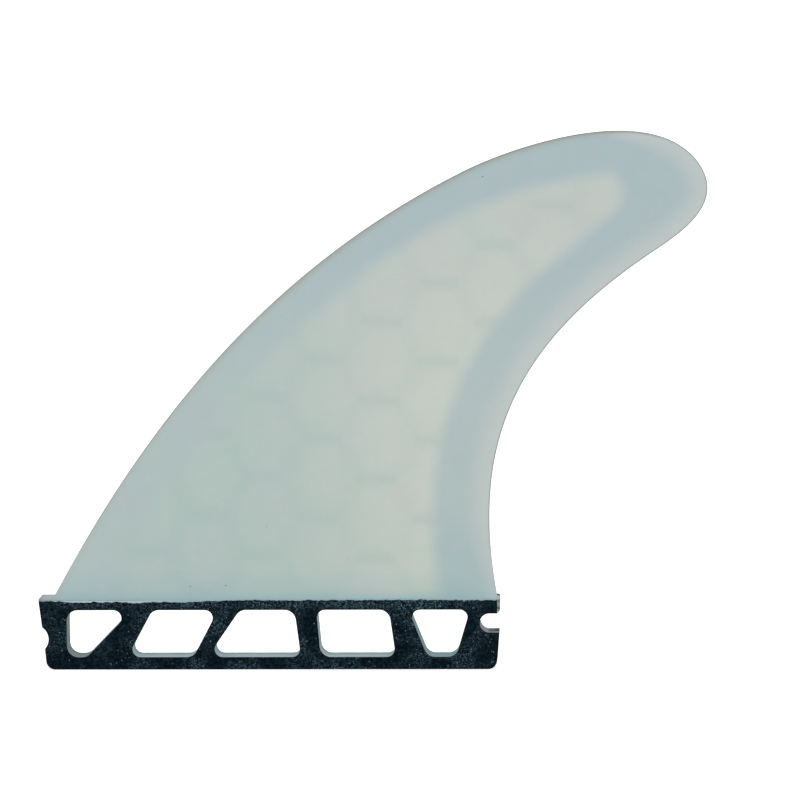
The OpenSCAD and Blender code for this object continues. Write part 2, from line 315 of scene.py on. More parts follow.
def rounded_corner(before, tip, after, radius, count=9):
    """Points round one corner of a loop, tangent to both of its sides."""
    before, tip, after = (np.array(p, float) for p in (before, tip, after))
    a, b = ((p - tip) / np.linalg.norm(p - tip) for p in (before, after))
    half = math.acos(float(a @ b)) / 2
    middle = tip + (a + b) / np.linalg.norm(a + b) * radius / math.sin(half)
    reach = radius / math.tan(half)
    first, last = tip + a * reach - middle, tip + b * reach - middle
    turn = math.atan2(first[0] * last[1] - first[1] * last[0], float(first @ last))
    angle = math.atan2(first[1], first[0])
    return [middle + radius * np.array([math.cos(angle + turn * t), math.sin(angle + turn * t)])
            for t in np.linspace(0, 1, count)]


def cutout_loop(top_front, top_rear, bottom_rear, bottom_front):
    tips = [np.array(p) for p in ((top_front, -TOP_WEB), (top_rear, -TOP_WEB),
                                  (bottom_rear, BOTTOM_WEB - TAB_DEPTH),
                                  (bottom_front, BOTTOM_WEB - TAB_DEPTH))]
    loop = []
    for i in range(4):
        before, tip, after = tips[i - 1], tips[i], tips[(i + 1) % 4]
        a, b = before - tip, after - tip
        opening = math.degrees(math.acos(a @ b / np.linalg.norm(a) / np.linalg.norm(b)))
        loop += rounded_corner(before, tip, after,
                               WIDE_RADIUS if opening > 88 else NARROW_RADIUS)
    return np.array(loop)


first_x, last_x = FRONT_X + 7.0, REAR_X - SLOT_DEPTH - 2.3
cutouts = [cutout_loop(*c) for c in (
    (first_x, first_x + 16.5, first_x + 4.9, first_x), (-29, -12.6, -18.9, -35.5),
    (-7.1, 6.5, 7.95, -15.4), (11.9, 30, 31.6, 12.9),
    (last_x - 15.4, last_x, last_x - 3.6, last_x - 10.7))]
print("cut-outs with", [len(c) for c in cutouts], "points")


# %% The outer loop, with its slot and notch
def front_end(z):
    """Where the raked front end is at a height."""
    return FRONT_X - FRONT_RAKE * z / TAB_DEPTH


def rear_end(z):
    """Where the rear end is at a height below the hook."""
    top = -HOOK_HEIGHT - SLOT_HEIGHT / 2
    return REAR_X - REAR_RAKE * (top - z) / (TAB_DEPTH + top)


slot_radius = SLOT_HEIGHT / 2
slot_middle = (REAR_X - SLOT_DEPTH + slot_radius, -HOOK_HEIGHT - slot_radius)
slot_floor = -HOOK_HEIGHT - SLOT_HEIGHT
bottom_rear, bottom_front = (rear_end(-TAB_DEPTH), -TAB_DEPTH), (front_end(-TAB_DEPTH), -TAB_DEPTH)
notch_radius = ((NOTCH_HEIGHT / 2)**2 + NOTCH_DEPTH**2) / (2 * NOTCH_DEPTH)
notch_middle = (front_end(-NOTCH_DROP) + NOTCH_DEPTH - notch_radius, -NOTCH_DROP)
notch = [p for p in arc(notch_middle, notch_radius, -75, 75, 61) if p[0] > front_end(p[1])]

outline = rounded_corner((FRONT_X + 9, 0), (FRONT_X, 0), (front_end(-5), -5), LEDGE_RADIUS)[::-1]
outline += rounded_corner((REAR_X - 9, 0), (REAR_X, 0), (REAR_X, -3), LEDGE_RADIUS)
outline += [np.array([REAR_X, -HOOK_HEIGHT + HOOK_CUT]), np.array([REAR_X - HOOK_CUT, -HOOK_HEIGHT])]
outline += arc(slot_middle, slot_radius, 90, 270, 21)
outline += [np.array([rear_end(slot_floor), slot_floor])]
outline += rounded_corner((rear_end(-9), -9), bottom_rear, bottom_front, CORNER_RADIUS)
outline += rounded_corner(bottom_rear, bottom_front, (front_end(-9), -9), CORNER_RADIUS)
outline += notch
outline = np.array(outline)
print("outer loop with", len(outline), "points, notch of", len(notch))

# %% [markdown]
# The plate's walls run straight through it, but two edges are cut back near its faces: the
# hook's upright edges carry a bevel, and the ledge's long edges are eased. Both are the same
# move: on levels close to a face, points that stick out past a slanting limit are pulled in.

# %% Build a plate with holes from loops on several levels
def pulled_in(loop, level):
    """The loop as it is at one distance from the tab's middle plane."""
    loop = loop.copy()
    hook = loop[:, 1] > -HOOK_HEIGHT - 0.01
    limit = REAR_X - max(0.0, abs(level) - (TAB_THICKNESS / 2 - HOOK_BEVEL))
    loop[hook, 0] = np.minimum(loop[hook, 0], limit)
    loop[:, 1] = np.minimum(loop[:, 1], -max(0.0, abs(level) - (BARE_THICKNESS / 2 - 0.12)))
    return loop


def plate(name, loops, levels, shape):
    """A closed plate: each loop repeated on each level, walls between, caps at both ends."""
    work = bmesh.new()
    stacks = []
    for level in levels:
        stacks.append([[work.verts.new((p[0] * MM, level * MM, p[1] * MM))
                        for p in shape(loop, level)] for loop in loops])
    for lower, upper in zip(stacks, stacks[1:]):
        for below, above in zip(lower, upper):
            for i in range(len(below)):
                j = (i + 1) % len(below)
                work.faces.new((below[i], below[j], above[j], above[i]))
    for stack in (stacks[0], stacks[-1]):
        corners = [v for loop in stack for v in loop]
        sheets = [[Vector((v.co.x, v.co.z, 0)) for v in loop] for loop in stack]
        for triangle in tessellate_polygon(sheets):
            if len(set(triangle)) == 3:
                work.faces.new([corners[i] for i in triangle])
    bmesh.ops.recalc_face_normals(work, faces=work.faces)
    mesh = bpy.data.meshes.new(name)
    work.to_mesh(mesh)
    work.free()
    piece = bpy.data.objects.new(name, mesh)
    bpy.context.scene.collection.objects.link(piece)
    mesh.shade_smooth()
    mesh.set_sharp_from_angle(angle=math.radians(28))
    return piece


half = BARE_THICKNESS / 2
levels = [-half, -half + 0.12, -half + 0.4, 0, half - 0.4, half - 0.12, half]
tab = plate("tab_laminate", [outline] + cutouts, levels, pulled_in)
print("the tab has", len(tab.data.polygons), "faces")

# %% [markdown]
# ## The black coats
# The coat was put on the tab's faces by hand, up to a line just below the ledge. Its upper edge
# wanders, and that ragged line is what a viewer notices first, so it is part of the shape and
# not of the material. The rest of the film follows the tab's own loops, 0.2 mm thick, with its
# outer edge drawn in a little, as paint does where it thins out.

# %% Draw the ragged upper edge of a coat
BARE_STRIP = 0.7


def ragged_line(seed, start, stop):
    """Heights along the tab: lower in front, with a slow wander and quick bites on top."""
    along = np.arange(start, stop, 0.2)
    draw = np.random.default_rng(seed)
    rise = np.clip((along + 30) / 28, 0, 1)
    height = -0.34 + 0.43 * rise**2 * (3 - 2 * rise)
    height += 0.27 * np.clip(-50.4 - along, 0, 1) - 0.12 * np.exp(-((along + 48) / 2.5)**2)
    for length, size in ((9, 0.03), (3.1, 0.04), (1.2, 0.06), (0.5, 0.07)):
        knots = draw.normal(0, size, int((stop - start) / length) + 4)
        height += np.interp((along - start) / length + draw.random(), np.arange(len(knots)), knots)
    return np.column_stack([along, -BARE_STRIP + np.clip(height, -0.6, 0.3)])


def coat_loop(seed):
    """The tab's outer loop with everything above the ragged line taken away."""
    first = next(i for i, p in enumerate(outline) if p[1] < -BARE_STRIP - 0.7)
    kept = list(outline[first:])
    line = ragged_line(seed, FRONT_X + 0.3, REAR_X - 0.1)
    line[0, 0], line[-1, 0] = front_end(-BARE_STRIP), REAR_X
    return np.array(list(line) + kept)


def film(side):
    """How the film's loops change from its foot on the laminate to its outer face."""
    def shape(loop, level):
        inset = 0.06 if abs(level) > TAB_THICKNESS / 2 - 0.01 else 0.0
        loop = drawn_in(loop, inset)
        hook = loop[:, 1] > -HOOK_HEIGHT - 0.01
        limit = REAR_X - max(0.0, abs(level) - (TAB_THICKNESS / 2 - HOOK_BEVEL)) - inset - 0.25
        loop[hook, 0] = np.minimum(loop[hook, 0], limit)
        return loop
    return shape


def drawn_in(loop, inset):
    """A loop moved towards the film's own side of it by a small amount."""
    ahead, behind = np.roll(loop, -1, axis=0), np.roll(loop, 1, axis=0)
    run = ahead - behind
    run /= np.linalg.norm(run, axis=1)[:, None]
    return loop + inset * np.column_stack([run[:, 1], -run[:, 0]])


coats = []
for name, side, seed in (("inner_coat_film", -1, 4), ("outer_coat_film", 1, 9)):
    levels = [side * (half - 0.02), side * (half + COAT_THICKNESS - 0.06),
              side * (half + COAT_THICKNESS)]
    loops = [coat_loop(seed)] + [c[::-1] for c in cutouts]
    coats.append(plate(name, loops, levels, film(side)))
    print(name, "has", len(coats[-1].data.polygons), "faces")

# %% [markdown]
# ## Which piece stands for which solid
# The blade and the tab are two meshes here but one moulding, so both take the place of the laminate
# solid, which is hidden along with the two coat solids. The core sheet keeps its imported mesh,
# sealed inside the blade. Nothing on a fin moves, so every new piece rides on the one body.

# %% Hide the imported solids that are replaced, and put the new pieces on one body
for piece in (blade, tab):
    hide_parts("laminate")
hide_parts("inner_coat")
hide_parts("outer_coat")
for piece in [blade, tab] + coats:
    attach(piece, "root")
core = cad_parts["honeycomb_core"]

# %% [markdown]
# ## Tools for the materials
# Colours are written as the 0 to 255 values that a picture shows, and turned into the linear
# values that shaders need. The small helpers below place one node each and link or set its
# inputs, which keeps the materials short enough to read from top to bottom.

# %% Helpers that place nodes
def paint(red, green, blue):
    """A picture's colour as a linear one."""
    return tuple((c / 255 / 12.92 if c <= 10 else ((c / 255 + 0.055) / 1.055)**2.4)
                 for c in (red, green, blue)) + (1.0,)


def put(tree, socket, value):
    """Links another node's output to a socket, or sets a plain value on it."""
    if isinstance(value, bpy.types.NodeSocket):
        tree.links.new(value, socket)
    else:
        socket.default_value = value


def sums(tree, operation, *values, clamp=False):
    node = tree.nodes.new("ShaderNodeMath")
    node.operation, node.use_clamp = operation, clamp
    for socket, value in zip(node.inputs, values):
        put(tree, socket, value)
    return node.outputs[0]


def ease(tree, value, start, stop, low=0.0, high=1.0):
    """A smooth step from low at start to high at stop."""
    node = tree.nodes.new("ShaderNodeMapRange")
    node.interpolation_type = "SMOOTHSTEP"
    for socket, number in zip(node.inputs, (value, start, stop, low, high)):
        put(tree, socket, number)
    return node.outputs[0]


def mixed(tree, share, a, b):
    node = tree.nodes.new("ShaderNodeMix")
    node.data_type = "RGBA"
    put(tree, node.inputs[0], share)
    put(tree, node.inputs[6], a)
    put(tree, node.inputs[7], b)
    return node.outputs[2]


def shaded(tree, colour, amount):
    """A colour made lighter or darker: amount 1 leaves it as it is."""
    node = tree.nodes.new("ShaderNodeVectorMath")
    node.operation = "SCALE"
    put(tree, node.inputs[0], colour)
    put(tree, node.inputs[3], amount)
    return node.outputs[0]


def noise(tree, place, scale, detail=2.0, rough=0.5):
    node = tree.nodes.new("ShaderNodeTexNoise")
    put(tree, node.inputs["Vector"], place)
    put(tree, node.inputs["Scale"], scale)
    put(tree, node.inputs["Detail"], detail)
    put(tree, node.inputs["Roughness"], rough)
    return node.outputs["Fac"]


def read(tree, name, vector=False):
    """An attribute that was stored on the mesh."""
    node = tree.nodes.new("ShaderNodeAttribute")
    node.attribute_name = name
    return node.outputs["Vector" if vector else "Fac"]


def group_with(name, inputs, outputs):
    """An empty node group with named inputs and outputs."""
    group = bpy.data.node_groups.new(name, "ShaderNodeTree")
    for title, kind, value in inputs:
        socket = group.interface.new_socket(title, in_out="INPUT", socket_type=kind)
        if value is not None:
            socket.default_value = value
    for title, kind in outputs:
        group.interface.new_socket(title, in_out="OUTPUT", socket_type=kind)
    return group, group.nodes.new("NodeGroupInput"), group.nodes.new("NodeGroupOutput")


def placed(tree, group, **values):
    """One use of a node group, with its own values."""
    node = tree.nodes.new("ShaderNodeGroup")
    node.node_tree = group
    for title, value in values.items():
        put(tree, node.inputs[title.replace("_", " ").capitalize()], value)
    return node.outputs


def new_material(name):
    """A material with its Principled shader, and a place on the surface in millimetres."""
    material = bpy.data.materials.new(name)
    material.use_nodes = True
    tree = material.node_tree
    shader = tree.nodes["Principled BSDF"]
    where = tree.nodes.new("ShaderNodeTexCoord").outputs["Object"]
    scale = tree.nodes.new("ShaderNodeVectorMath")
    scale.operation = "SCALE"
    put(tree, scale.inputs[0], where)
    scale.inputs[3].default_value = 1000
    return material, tree, shader, scale.outputs[0]


# %% [markdown]
# ## Effects that several finishes share
# Sanded laminate, bare tab walls and the black coat all have a slow cloudiness and a fine grain,
# and the laminates also show the glass cloth as faint crossing threads. Each effect is a node
# group with named inputs, so each material sets its own size. Mixing an image over the blade
# would be quicker, but it would blur up close and couldn't be resized with the part.

# %% Node group: cloud and grain
grain_group, coming, going = group_with(
    "cloud_and_grain",
    [("Place", "NodeSocketVector", None), ("Cloud size", "NodeSocketFloat", 9.0),
     ("Grain size", "NodeSocketFloat", 0.4)],
    [("Cloud", "NodeSocketFloat"), ("Grain", "NodeSocketFloat")])
cloud = noise(grain_group, coming.outputs["Place"],
              sums(grain_group, "DIVIDE", 1.0, coming.outputs["Cloud size"]), 2.0)
grain = noise(grain_group, coming.outputs["Place"],
              sums(grain_group, "DIVIDE", 1.0, coming.outputs["Grain size"]), 3.0, 0.6)
put(grain_group, going.inputs["Cloud"], sums(grain_group, "SUBTRACT", cloud, 0.5))
put(grain_group, going.inputs["Grain"], sums(grain_group, "SUBTRACT", grain, 0.5))

# %% Node group: glass cloth
cloth_group, coming, going = group_with(
    "glass_cloth",
    [("Place", "NodeSocketVector", None), ("Thread", "NodeSocketFloat", 0.6)],
    [("Weave", "NodeSocketFloat")])
parts = cloth_group.nodes.new("ShaderNodeSeparateXYZ")
put(cloth_group, parts.inputs[0], coming.outputs["Place"])
drift = sums(cloth_group, "MULTIPLY", noise(cloth_group, coming.outputs["Place"], 0.12), 3.0)
weave = []
for axis, share in ((0, 0.35), (1, 0.65)):
    turns = sums(cloth_group, "DIVIDE", parts.outputs[axis], coming.outputs["Thread"])
    wave = sums(cloth_group, "SINE",
                sums(cloth_group, "MULTIPLY", sums(cloth_group, "ADD", turns, drift), math.tau))
    weave.append(sums(cloth_group, "MULTIPLY", wave, share))
patchy = ease(cloth_group, noise(cloth_group, coming.outputs["Place"], 0.5, 3.0), 0.35, 0.7, 0.25)
put(cloth_group, going.inputs["Weave"],
    sums(cloth_group, "MULTIPLY", sums(cloth_group, "ADD", *weave), patchy))

# %% Node group: a speck caught in the resin
speck_group, coming, going = group_with(
    "speck",
    [("Place", "NodeSocketVector", None), ("Middle", "NodeSocketVector", None),
     ("Radius", "NodeSocketFloat", 0.15)],
    [("Speck", "NodeSocketFloat")])
gap = speck_group.nodes.new("ShaderNodeVectorMath")
gap.operation = "DISTANCE"
put(speck_group, gap.inputs[0], coming.outputs["Place"])
put(speck_group, gap.inputs[1], coming.outputs["Middle"])
put(speck_group, going.inputs["Speck"],
    ease(speck_group, sums(speck_group, "DIVIDE", gap.outputs["Value"], coming.outputs["Radius"]),
         1.4, 0.6))
print("node groups:", [g.name for g in bpy.data.node_groups])

# %% [markdown]
# ## The honeycomb that shows through
# The core's pads are wide six-sided cells with rounded corners, in columns that step half a pad
# from one to the next. Through the laminate only the level gaps between them are plain to see,
# as short soft bars; the slanting gaps are hardly there. Two lattices of cells, shifted against
# each other, cover the blade without a seam, and the nearer cell wins at each point. That is
# what a cell texture can't do, because its cells are never this regular.

# %% Node group: one lattice of honeycomb cells
PAD_PITCH, PAD_RISE, PAD_FLAT = 14.04, 19.57, 10.05
PAD_MIDDLE, PAD_TILT = (28.2, 58.8, 0.0), math.radians(1.72)
cell_group, coming, going = group_with(
    "pad_lattice",
    [("Place", "NodeSocketVector", None), ("Across", "NodeSocketFloat", 0.0),
     ("Up", "NodeSocketFloat", 0.0)],
    [("Inside", "NodeSocketFloat"), ("To level gap", "NodeSocketFloat"),
     ("Across", "NodeSocketFloat")])
half_rise, lean = PAD_RISE / 2, PAD_PITCH - PAD_FLAT
slant = math.hypot(half_rise, lean)
parts = cell_group.nodes.new("ShaderNodeSeparateXYZ")
put(cell_group, parts.inputs[0], coming.outputs["Place"])


def from_middle(axis, shift, step):
    """Distance from the nearest cell's middle along one axis."""
    moved = sums(cell_group, "SUBTRACT", parts.outputs[axis], coming.outputs[shift])
    middle = sums(cell_group, "MULTIPLY",
                  sums(cell_group, "ROUND", sums(cell_group, "DIVIDE", moved, step)), step)
    return sums(cell_group, "ABSOLUTE", sums(cell_group, "SUBTRACT", moved, middle))


across, up = from_middle(0, "Across", 2 * PAD_PITCH), from_middle(1, "Up", PAD_RISE)
to_level = sums(cell_group, "SUBTRACT", half_rise, up)
to_slant = sums(cell_group, "DIVIDE", sums(
    cell_group, "SUBTRACT",
    sums(cell_group, "MULTIPLY",
         sums(cell_group, "SUBTRACT", PAD_PITCH - PAD_FLAT / 2, across), half_rise),
    sums(cell_group, "MULTIPLY", up, lean)), slant)
put(cell_group, going.inputs["To level gap"], to_level)
put(cell_group, going.inputs["Across"], across)
put(cell_group, going.inputs["Inside"], sums(cell_group, "MINIMUM", to_level, to_slant))


def honeycomb(tree, place):
    """Distances to the nearest gap, to the nearest level gap, and across from the pad's middle."""
    turned = tree.nodes.new("ShaderNodeVectorRotate")
    turned.rotation_type = "Z_AXIS"
    put(tree, turned.inputs["Vector"], place)
    turned.inputs["Center"].default_value = PAD_MIDDLE
    turned.inputs["Angle"].default_value = PAD_TILT
    even, odd = (placed(tree, cell_group, place=turned.outputs[0],
                        across=PAD_MIDDLE[0] + step * PAD_PITCH,
                        up=PAD_MIDDLE[1] + step * PAD_RISE / 2) for step in (0, 1))
    wins = sums(tree, "GREATER_THAN", even["Inside"], odd["Inside"])
    distances = []
    for title in ("Inside", "To level gap", "Across"):
        node = tree.nodes.new("ShaderNodeMix")
        put(tree, node.inputs[0], wins)
        put(tree, node.inputs[2], odd[title])
        put(tree, node.inputs[3], even[title])
        distances.append(node.outputs[0])
    return distances


# %% [markdown]
# ## The blade's finish
# From the core outwards, a viewer sees warm pale pads, then plain bluish laminate, then a rim:
# lighter behind, where the section is thin and daylight comes through it, a painted reflection
# that browns the upper leading edge, and a fine line of painted shade at the very edge. The
# surface is sanded, so it is satin and never mirrors. Each of those is one mix in the Base
# Color, in that order.

# %% Material of the blade
laminate_finish, tree, shader, place = new_material("sanded_glass_laminate")
flat_place = read(tree, "plan", vector=True)
parts = tree.nodes.new("ShaderNodeSeparateXYZ")
put(tree, parts.inputs[0], flat_place)
along, height = parts.outputs[0], parts.outputs[1]
front, back = read(tree, "from_front"), read(tree, "from_back")
reach, share = read(tree, "core_reach"), read(tree, "core_share")
slow = placed(tree, grain_group, place=flat_place, cloud_size=9.0, grain_size=0.5)
quick = placed(tree, grain_group, place=flat_place, cloud_size=2.2, grain_size=0.2)
weave = placed(tree, cloth_group, place=flat_place, thread=0.62)["Weave"]
print("the blade's pattern repeats every", 2 * PAD_PITCH, "by", PAD_RISE, "mm")


def laid(body, amount, colour):
    """One more tint over the blade's colour."""
    return mixed(tree, amount, body, paint(*colour))


def both(*masks):
    """Where all of the masks hold."""
    product = masks[0]
    for mask in masks[1:]:
        product = sums(tree, "MULTIPLY", product, mask)
    return product


# %% The core and its gaps, seen through the laminate
body = mixed(tree, ease(tree, height, 45.0, 100.0), paint(176, 191, 191), paint(171, 188, 191))
soft_reach = sums(tree, "ADD", reach, sums(tree, "MULTIPLY", slow["Cloud"], 1.2))
covered = ease(tree, soft_reach, -2.1, 3.2)
body = laid(body, covered, (177, 193, 190))
body = laid(body, both(covered, share), (204, 208, 200))
to_gap, to_level, across = honeycomb(tree, flat_place)
ripple = sums(tree, "MULTIPLY", quick["Cloud"], 0.8)
halo = both(ease(tree, sums(tree, "ADD", to_gap, ripple), 4.4, 0.0),
            sums(tree, "MULTIPLY_ADD", share, -0.023, 0.087))
bar = both(ease(tree, sums(tree, "ADD", to_level, ripple), 2.5, 0.0),
           ease(tree, across, PAD_FLAT / 2 + 1.0, PAD_FLAT / 2 - 0.8),
           sums(tree, "MULTIPLY_ADD", share, 0.11, 0.032),
           ease(tree, slow["Cloud"], -0.2, 0.2, 0.8, 1.25))
body = laid(body, both(covered, sums(tree, "ADD", halo, bar)), (133, 170, 173))

# %% The thin rims, the foot and the specks
taper = ease(tree, height, 0.0, 21.6, 0.5, 1.0)
tip_taper = ease(tree, along, 76.0, 106.0, 0.1, 1.0)
nearest = sums(tree, "MINIMUM", sums(tree, "DIVIDE", back, taper),
               sums(tree, "DIVIDE", front, tip_taper))
thin = ease(tree, nearest, 7.7, 0.1)
body = laid(body, sums(tree, "MULTIPLY", thin, 0.65), (200, 204, 199))
# Painted reflection: the rounded leading edge, seen through the laminate, darkens the upper rim and
# turns it brown.
upper = both(ease(tree, height, 35.0, 80.0, 0.25, 1.0), ease(tree, along, 92.0, 84.0))
edge_reflection_tint = both(ease(tree, front, 2.3, 0.2), upper)
body = laid(body, sums(tree, "MULTIPLY", edge_reflection_tint, 0.45), (160, 159, 140))
behind_core = both(ease(tree, height, 30.0, 0.0), ease(tree, along, 36.0, 46.0))
body = laid(body, sums(tree, "MULTIPLY", behind_core, 0.17), (120, 166, 176))
for rise, amount in ((8.5, 0.21), (2.0, 0.24)):
    foot = both(ease(tree, height, rise, 0.0), ease(tree, back, 0.5, 9.0, 0.4, 1.0))
    body = laid(body, sums(tree, "MULTIPLY", foot, amount), (120, 166, 176))
# Painted shade: a fine dark line along every edge and along the top of the leading edge, where the
# laminate sends less light back out.
edge_shade_line = both(ease(tree, sums(tree, "MINIMUM", front, back), 0.45, 0.12),
                 ease(tree, height, 8.0, 20.0, 0.15, 0.7))
body = laid(body, edge_shade_line, (128, 137, 136))
front_edge_shade = both(ease(tree, front, 0.9, 0.3), ease(tree, along, -40.0, 80.0, 0.15, 0.5),
                ease(tree, along, 103.0, 93.0))
body = laid(body, front_edge_shade, (132, 138, 134))
for x, h, radius in ((-19.4, 2.9, 0.15), (-10.6, 3.1, 0.16), (53.8, 104.2, 0.15),
                     (-0.3, 17.8, 0.1), (20.0, 9.8, 0.1)):
    spot = placed(tree, speck_group, place=flat_place, middle=(x, h, 0.0), radius=radius)["Speck"]
    body = laid(body, sums(tree, "MULTIPLY", spot, 0.8), (52, 58, 62))

# %% Grain, threads and a satin surface
across_blade = ease(tree, sums(tree, "ADD", along, height), 0.0, 170.0, -0.13, 0.13)
drift = sums(tree, "ADD", noise(tree, flat_place, 0.06, 1.0), across_blade)
body = laid(body, both(ease(tree, drift, 0.5, 0.7, 0.0, 0.08), covered), (214, 190, 196))
body = laid(body, ease(tree, drift, 0.5, 0.3, 0.0, 0.08), (172, 205, 172))
body = laid(body, ease(tree, quick["Cloud"], 0.0, 0.3, 0.0, 0.12), (214, 196, 190))
body = laid(body, ease(tree, quick["Cloud"], 0.0, -0.3, 0.0, 0.12), (150, 200, 196))
light = sums(tree, "MULTIPLY_ADD", slow["Cloud"], 0.04, 1.0)
light = sums(tree, "MULTIPLY_ADD", quick["Grain"], 0.12, light)
light = sums(tree, "MULTIPLY_ADD", weave, 0.02, light)
put(tree, shader.inputs["Base Color"], shaded(tree, body, light))
rough = sums(tree, "ADD", 0.5, sums(tree, "MULTIPLY", slow["Grain"], 0.16))
put(tree, shader.inputs["Roughness"], rough)
shader.inputs["Specular IOR Level"].default_value = 0.3
relief = sums(tree, "ADD", quick["Grain"], sums(tree, "MULTIPLY", weave, 0.35))
bump = tree.nodes.new("ShaderNodeBump")
bump.inputs["Strength"].default_value = 0.35
bump.inputs["Distance"].default_value = 0.00004
put(tree, bump.inputs["Height"], relief)
put(tree, shader.inputs["Normal"], bump.outputs["Normal"])
blade.data.materials.append(laminate_finish)

# %% [markdown]
# ## The tab's bare laminate
# The coat stops at the faces, so the walls of the cut-outs, the slot and the ledge are bare
# glass, a little darker than the blade because less light gets out of them. Paint mist has
# reached the outside of the plate: its ends and its bottom are nearly black, and the hook is
# patchy, half grey and half bare. The mask for each comes from where it is on the plate.

# %% Material of the bare tab
bare_finish, tree, shader, place = new_material("bare_glass_laminate")
grain = placed(tree, grain_group, place=place, cloud_size=1.6, grain_size=0.35)
weave = placed(tree, cloth_group, place=place, thread=0.62)["Weave"]
parts = tree.nodes.new("ShaderNodeSeparateXYZ")
put(tree, parts.inputs[0], place)
along, outwards, height = parts.outputs


def past(value, edge, width):
    """1 beyond an edge, over a small width; a negative width turns it round."""
    return ease(tree, value, edge - width / 2, edge + width / 2)


body = mixed(tree, past(outwards, 0.0, 4.0), paint(163, 183, 187), paint(146, 166, 170))
body = laid(body, past(along, -37.0, -1.0), (122, 143, 140))
body = laid(body, past(along, 33.0, 1.0), (128, 158, 163))
mist = both(past(outwards, 2.0, 1.2), past(grain["Cloud"], 0.0, 0.3))
body = laid(body, sums(tree, "MULTIPLY", mist, 0.7), (50, 62, 66))
on_ledge = past(height, -1.2, 0.4)
body = laid(body, on_ledge, (158, 185, 190))
body = laid(body, both(on_ledge, past(along, -52.0, -5.0)), (169, 179, 187))
face = past(outwards, -2.85, -0.1)
lit_line = both(face, past(along, -26.0, -8.0), past(height, -0.6, -0.1))
body = laid(body, sums(tree, "MULTIPLY", lit_line, 0.45), (206, 212, 220))
fine_line = both(face, past(along, -30.0, -8.0), past(height, -0.6, 0.1), past(height, -0.42, -0.1))
body = laid(body, sums(tree, "MULTIPLY", fine_line, 0.6), (112, 140, 146))
# Painted shade on the ledge's rounded front end, in blue-grey.
body = laid(body, both(on_ledge, past(along, -56.4, -1.2)), (136, 148, 166))
top_line = both(past(height, -0.25, 0.1), past(along, -53.4, -1.0))
body = laid(body, sums(tree, "MULTIPLY", top_line, 0.6), (170, 162, 168))
hook = both(past(along, 56.5, 0.3), past(height, -4.1, 0.1))
body = laid(body, hook, (170, 180, 180))
patch = both(hook, past(height, -0.6, -0.6), past(grain["Cloud"], -0.02, 0.24))
body = laid(body, sums(tree, "MULTIPLY", patch, 0.9), (58, 68, 72))
dark_top = both(hook, past(height, -0.45, 0.3), past(outwards, 0.2, 0.8))
body = laid(body, dark_top, (44, 50, 54))
slot = both(past(along, 52.2, 0.2), past(height, -4.05, -0.1), past(height, -8.83, 0.04))
body = laid(body, slot, (140, 150, 157))
far_side = both(slot, past(along, 54.6, 1.2), past(outwards, -1.6, 0.9))
body = laid(body, far_side, (70, 76, 88))
body = laid(body, both(far_side, past(along, 56.2, 0.5), past(outwards, -0.2, 0.8)), (6, 10, 14))
near_side = both(slot, past(along, 54.3, 0.8), past(outwards, -1.6, -0.9))
body = laid(body, near_side, (134, 142, 150))
body = laid(body, both(slot, past(height, -6.9, 0.8)), (30, 40, 44))
below = past(height, -15.3, -0.3)
nose_end = both(past(along, -51.3, -0.3), past(height, -1.2, -0.4))
rear_end_mask = both(past(along, 52.8, 0.3), past(height, -8.86, -0.04))
outside = sums(tree, "MAXIMUM", below, sums(tree, "MAXIMUM", nose_end, rear_end_mask))
body = laid(body, sums(tree, "MULTIPLY", outside, 0.95), (44, 52, 55))
worn = both(outside, past(grain["Grain"], 0.06, 0.12))
body = laid(body, sums(tree, "MULTIPLY", worn, 0.5), (92, 102, 106))
under_slot = both(rear_end_mask, past(height, -13.0, 4.0), past(along, 56.2, 0.3))
body = laid(body, sums(tree, "MULTIPLY", under_slot, 0.6), (96, 94, 100))
light = sums(tree, "ADD", 1.0, sums(tree, "MULTIPLY", grain["Grain"], 0.12))
light = sums(tree, "ADD", light, sums(tree, "MULTIPLY", weave, 0.03))
put(tree, shader.inputs["Base Color"], shaded(tree, body, light))
put(tree, shader.inputs["Roughness"],
    sums(tree, "ADD", 0.6, sums(tree, "MULTIPLY", grain["Cloud"], 0.2)))
shader.inputs["Specular IOR Level"].default_value = 0.05
bump = tree.nodes.new("ShaderNodeBump")
bump.inputs["Strength"].default_value = 0.4
bump.inputs["Distance"].default_value = 0.00006
put(tree, bump.inputs["Height"], sums(tree, "ADD", grain["Grain"], sums(tree, "MULTIPLY", weave, 0.3)))
put(tree, shader.inputs["Normal"], bump.outputs["Normal"])
tab.data.materials.append(bare_finish)

# %% [markdown]
# ## The black coat's finish
# The coat is a blue-black grip paint: matt, pebbled like fine sandpaper, cloudy where it went on
# thicker, with scattered pale specks where grit or worn high points catch the light.

# %% Material of the coats
coat_finish, tree, shader, place = new_material("black_grip_coat")
grain = placed(tree, grain_group, place=place, cloud_size=6.0, grain_size=0.42)
pebbles = placed(tree, grain_group, place=place, cloud_size=0.8, grain_size=0.34)
pebble = tree.nodes.new("ShaderNodeTexVoronoi")
put(tree, pebble.inputs["Vector"], place)
pebble.inputs["Scale"].default_value = 2.2
chance = tree.nodes.new("ShaderNodeSeparateColor")
put(tree, chance.inputs[0], pebble.outputs["Color"])
parts = tree.nodes.new("ShaderNodeSeparateXYZ")
put(tree, parts.inputs[0], place)
near_top = ease(tree, parts.outputs[2], -3.6, -1.6, 0.0, 0.6)
worn = sums(tree, "ADD", ease(tree, grain["Cloud"], -0.08, 0.14, 0.0, 0.8), near_top)
for end, start in ((55.0, 48.0), (-57.0, -49.0)):
    worn = sums(tree, "MULTIPLY", worn, ease(tree, parts.outputs[0], end, start, 0.3, 1.0))
body = mixed(tree, ease(tree, pebbles["Cloud"], -0.12, 0.16), paint(2, 13, 20), paint(18, 35, 44))
body = laid(body, both(ease(tree, pebbles["Grain"], -0.02, 0.16), worn), (78, 101, 113))
